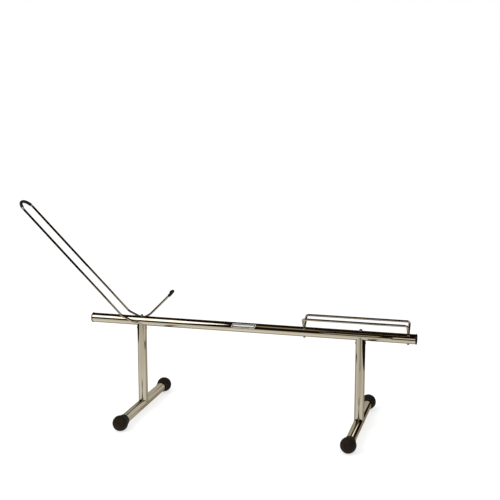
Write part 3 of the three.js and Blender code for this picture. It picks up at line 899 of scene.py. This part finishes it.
def label_sides(inset, corner):
    """The left and right edges of a slanted plate with round corners, from low to high."""
    low_u = LABEL_LOW_ANGLE * tube_radius + inset
    high_u = LABEL_HIGH_ANGLE * tube_radius - inset
    low_x, high_x = LABEL_LOW_X + inset, LABEL_HIGH_X - inset
    middle_u = (low_u + high_u) / 2
    turns = [QUARTER_TURN * step / LABEL_CORNER_STEPS for step in range(LABEL_CORNER_STEPS + 1)]
    bend = [(corner * (1 - math.cos(turn)), corner * (1 - math.sin(turn))) for turn in turns]
    straight = high_u - low_u - 2 * corner
    levels = [(low_u + rise, draw_in) for rise, draw_in in bend]
    levels += [(low_u + corner + straight * row / LABEL_ROWS, 0) for row in range(1, LABEL_ROWS)]
    levels += [(high_u - rise, draw_in) for rise, draw_in in bend[::-1]]
    left, right = [], []
    for u, draw_in in levels:
        lean = LABEL_SLANT * (u - middle_u)
        left.append((low_x + draw_in + lean, u))
        right.append((high_x - draw_in + lean, u))
    return left, right


def on_tube(along, up, lift):
    radius = tube_radius + lift
    angle = up / tube_radius
    return Vector((along, -radius * math.cos(angle), beam_height + radius * math.sin(angle)))


def film(name, lines, closed, lift, material):
    """A thin film on the tube whose lines of (along, up) points lie side by side."""
    count, length = len(lines), len(lines[0])
    points = []
    for height in (lift, lift + FILM_THICKNESS):
        points += [on_tube(x, u, height) for line in lines for x, u in line]
    base = count * length
    faces = []
    for line in range(count - 1):
        quads = band(line * length, (line + 1) * length, length)
        for quad in quads if closed else quads[:-1]:
            faces.append(quad)
            faces.append(tuple(base + corner for corner in quad))
    borders = [[line * length + index for index in range(length)] for line in (0, count - 1)]
    if not closed:
        borders += [[line * length + index for line in range(count)] for index in (0, length - 1)]
    for border in borders:
        pairs = list(zip(border, border[1:]))
        if closed:
            pairs.append((border[-1], border[0]))
        faces += [(first, second, base + second, base + first) for first, second in pairs]
    add_piece(name, mesh_from(name, points, faces), material, "stand")


def add_label():
    film("label_plate", label_sides(0, LABEL_CORNER), False, FILM_LIFT, DARK_FILM)
    lift = FILM_LIFT + FILM_THICKNESS
    rim = []
    for line in range(LABEL_RIM_LINES):
        inset = LABEL_RIM * line / (LABEL_RIM_LINES - 1)
        left, right = label_sides(inset, LABEL_CORNER - inset)
        rim.append(right + left[::-1])
    film("label_rim", rim, True, lift, LIGHT_FILM)
    stripe = label_sides(LABEL_STRIPE_INSET, LABEL_STRIPE_CORNER)
    film("label_stripe", stripe, False, lift, LIGHT_FILM)


# Studio: floor and world
FLOOR_SIZE = 40
FLOOR_GLOW = 0.62
FLOOR_COLOUR = 0.55
FLOOR_MOTTLE = 0.01
WORLD_STRENGTH = 0.75
WHITE = (1, 1, 1)


def pick_seen(nodes, links, plain, seen, output):
    """seen for camera, glossy and transmission rays, and plain for all the others."""
    path = nodes.new("ShaderNodeLightPath")
    camera, glossy = path.outputs["Is Camera Ray"], path.outputs["Is Glossy Ray"]
    either = math_node(nodes, links, "MAXIMUM", camera, glossy)
    looked_at = math_node(nodes, links, "MAXIMUM", either, path.outputs["Is Transmission Ray"])
    pick = nodes.new("ShaderNodeMixShader")
    links.new(looked_at, pick.inputs["Fac"])
    links.new(plain, pick.inputs[1])
    links.new(seen, pick.inputs[2])
    links.new(pick.outputs["Shader"], output.inputs["Surface"])


def floor_material():
    """Pale paper whose own glow brings it to white, and which still takes a soft shadow."""
    material, nodes, links = node_tree("floor_paper")
    nodes.remove(nodes["Principled BSDF"])
    paper = nodes.new("ShaderNodeBsdfDiffuse")
    tone = noise(nodes, links, scale=3, detail=4)
    low = (FLOOR_COLOUR - FLOOR_MOTTLE,) * 3
    high = (FLOOR_COLOUR + FLOOR_MOTTLE,) * 3
    links.new(colour_ramp(nodes, links, tone, [(0.3, low), (0.7, high)]), paper.inputs["Color"])
    glow = nodes.new("ShaderNodeEmission")
    glow.inputs["Strength"].default_value = FLOOR_GLOW
    lit = nodes.new("ShaderNodeAddShader")
    links.new(paper.outputs["BSDF"], lit.inputs[0])
    links.new(glow.outputs["Emission"], lit.inputs[1])
    pick_seen(nodes, links, paper.outputs["BSDF"], lit.outputs["Shader"], nodes["Material Output"])
    return material


def add_floor():
    half = FLOOR_SIZE / 2
    mesh = mesh_from("floor", level(-half, half, -half, half, 0), [(0, 1, 2, 3)])
    floor = bpy.data.objects.new("floor", mesh)
    mesh.materials.append(floor_material())
    bpy.context.scene.collection.objects.link(floor)


def set_world():
    world = bpy.data.worlds.new("studio")
    bpy.context.scene.world = world
    world.use_nodes = True
    nodes, links = world.node_tree.nodes, world.node_tree.links
    soft = nodes["Background"]
    soft.inputs["Color"].default_value = (*WHITE, 1)
    soft.inputs["Strength"].default_value = WORLD_STRENGTH
    seen = nodes.new("ShaderNodeBackground")
    seen.inputs["Color"].default_value = (*WHITE, 1)
    seen.inputs["Strength"].default_value = 1
    outputs = soft.outputs["Background"], seen.outputs["Background"]
    pick_seen(nodes, links, *outputs, nodes["World Output"])


# Studio: cards that only the reflections show
CEILING = 2.45
UNDER_CEILING = CEILING - 0.05
FRONT, BACK = -3.45, 3.5
FRONT_INNER = FRONT + 0.02
LEFT, RIGHT = -3.2, 1.6
LEFT_FLAG = -1.33
TOP = 3.6
STRIP_PLACE = 0.4
CARD_LIFT = 0.002
FLAG_COLOUR = (0.014, 0.0075, 0.0028)


def upright(start, end, low, high):
    return [(*start, low), (*end, low), (*end, high), (*start, high)]


def level(left, right, front, back, height):
    return [(left, front, height), (right, front, height), (right, back, height),
            (left, back, height)]


def card(name, faces, colour, strength=1):
    """Flat cards seen only in glossy reflections, as a photographer's flags and diffusers are."""
    points, polygons = [], []
    for corners in faces:
        polygons.append(tuple(range(len(points), len(points) + len(corners))))
        points += corners
    mesh = bpy.data.meshes.new(name)
    mesh.from_pydata(points, [], polygons)
    material, nodes, links = node_tree(name)
    nodes.remove(nodes["Principled BSDF"])
    glow = nodes.new("ShaderNodeEmission")
    glow.inputs["Color"].default_value = (*colour, 1)
    glow.inputs["Strength"].default_value = strength
    links.new(glow.outputs["Emission"], nodes["Material Output"].inputs["Surface"])
    mesh.materials.append(material)
    piece = bpy.data.objects.new(name, mesh)
    bpy.context.scene.collection.objects.link(piece)
    for kind in ("camera", "diffuse", "transmission", "shadow", "volume_scatter"):
        setattr(piece, f"visible_{kind}", False)


def add_flags():
    """Dark flags round the stand: their edges draw the dark lines that run along the chrome."""
    front_wall = upright((LEFT, FRONT), (RIGHT, FRONT), 0, 1.95)
    left_wall = upright((LEFT_FLAG, FRONT), (LEFT_FLAG, 1.9), 0, 1.15)
    right_walls = [upright((RIGHT, FRONT), (1.5, -0.4), 0, 0.62),
                   upright((1.5, -0.4), (1.4, 0.1), 0, 1.3),
                   upright((1.4, 0.1), (1.1, 0.8), 0, 1.3)]
    leaning_side = [(1.46, -0.1, 0.85), (1.46, -1.15, 2.3), (1.46, -1.15, CEILING),
                    (1.46, -0.8, CEILING), (1.46, -0.1, 1.45)]
    right_ceiling = level(1.1, 1.46, -1.3, -0.85, CEILING)
    low_wall = upright((0.84, 1.0), (1.1, 0.8), 0, 0.42)
    back_walls = [upright((-0.95, BACK), (-0.3, BACK), 1.84, TOP),
                  upright((LEFT, BACK + 0.1), (-LEFT, BACK + 0.1), 2.12, TOP),
                  upright((-0.13, BACK), (0.70, BACK), 1.41, 1.64)]
    beam_strip = upright((-1.0, STRIP_PLACE), (1.2, STRIP_PLACE), 0.4, 0.62)
    front_ceiling = level(-3.65, 1.1, -5.2, -0.7, CEILING)
    back_ceiling = [(-2.1, -0.7, CEILING), (1.1, -0.7, CEILING), (1.1, BACK, CEILING),
                    (-2.9, BACK, CEILING)]
    faces = [front_wall, left_wall, *right_walls, leaning_side, right_ceiling, low_wall,
             *back_walls, beam_strip, front_ceiling, back_ceiling]
    card("dark_flags", faces, FLAG_COLOUR)


def add_diffusers():
    """A large soft window to the left above, and smaller ones that show as faint stripes."""
    softbox = [(-3.6, -0.8), (-3.6, -5), (-1.95, -5), (-1.18, -3.17), (-0.78, -2.08),
               (-0.6, -1.35), (-0.64, -1.02), (-0.85, -0.6), (-1.15, -0.6), (-1.35, -0.8)]
    card("softbox_face", [[(x, y, UNDER_CEILING) for x, y in softbox]], (0.96, 0.97, 1.0), 2.7)
    card("dim_strip", [level(-0.42, 0.02, -1.7, -0.6, UNDER_CEILING)], (0.48, 0.41, 0.30))
    middle = upright((-0.2, FRONT_INNER), (0.22, FRONT_INNER), 0.72, 1.8)
    card("dim_window", [middle], (0.56, 0.50, 0.40))
    right = upright((0.33, FRONT_INNER), (0.66, FRONT_INNER), 0.4, 1.45)
    card("end_window", [right], (1.0, 0.90, 0.82), 1.35)
    card("far_window", [upright((0.68, 1.6), (1.0, 1.6), 0.615, 0.86)], (1.0, 0.98, 0.94), 2.4)


FLOOR_TINT = (1.0, 0.985, 0.94)
FLOOR_SHADE_SHARES = [(0, 1), (0.27, 0.82), (0.5, 0.14), (1, 0.05)]
BACK_FLOOR_SHADE_COLOUR = (0.68, 0.65, 0.575)


def add_floor_tones():
    """What the chrome sees of the paper, as painted shade: darker towards the camera, to the right
    and behind.
    """
    # Painted shade: the paper in front reflects darker towards the camera and to the right.
    card("front_floor_shade", [level(LEFT_FLAG, RIGHT, FRONT, -0.3, CARD_LIFT)], WHITE)
    material = bpy.data.materials["front_floor_shade"]
    nodes, links = material.node_tree.nodes, material.node_tree.links
    place = nodes.new("ShaderNodeTexCoord")
    split = nodes.new("ShaderNodeSeparateXYZ")
    links.new(place.outputs["Object"], split.inputs["Vector"])
    towards = spread(nodes, links, split.outputs["Y"], 0, 1, start=-0.5, end=FRONT)
    stops = [(where, tuple(share * tint for tint in FLOOR_TINT)) for where, share in FLOOR_SHADE_SHARES]
    links.new(colour_ramp(nodes, links, towards, stops), nodes["Emission"].inputs["Color"])
    right = spread(nodes, links, split.outputs["X"], 1.06, 0.88, start=0.1, end=0.6)
    links.new(right, nodes["Emission"].inputs["Strength"])
    # A dark patch as a painted shadow on the paper in front of the stand, seen only in reflections.
    patch = [(0.62, -0.78), (0.80, -0.78), (0.69, -2.2), (0.46, -2.2)]
    card("floor_painted_shadow", [[(x, y, 2 * CARD_LIFT) for x, y in patch]], FLAG_COLOUR)
    # Painted shade: the paper beside and behind the stand reflects darker than the lit paper.
    card("back_floor_shade", [level(LEFT_FLAG, 1.4, -0.02, BACK, CARD_LIFT)], BACK_FLOOR_SHADE_COLOUR)


KEY_PLACE = (-1.8, -2.4, 2.6)
KEY_TARGET = (0, 0, 0.3)
KEY_SIZE = 2.2
KEY_POWER = 60


def add_key_light():
    data = bpy.data.lights.new("key_light", "AREA")
    data.shape = "SQUARE"
    data.size = KEY_SIZE
    data.energy = KEY_POWER
    lamp = bpy.data.objects.new("key_light", data)
    lamp.location = KEY_PLACE
    aim = Vector(KEY_TARGET) - Vector(KEY_PLACE)
    lamp.rotation_euler = aim.to_track_quat("-Z", "Y").to_euler()
    lamp.visible_glossy = False
    lamp.visible_camera = False
    bpy.context.scene.collection.objects.link(lamp)


add_camera()
add_beam()
add_plug("rear", -1, beam_low.x)
add_plug("front", 1, beam_high.x)
for leg_end in ("rear", "front"):
    add_leg(leg_end)
    add_foot(leg_end)
    add_bolt(leg_end)
    add_washer(leg_end)
    add_dowel(leg_end)
add_cradle()
add_pivot_sleeve()
add_holder()
add_sleeves()
add_label()
add_floor()
set_world()
add_flags()
add_diffusers()
add_floor_tones()
add_key_light()
bpy.context.scene.view_settings.view_transform = "Standard"
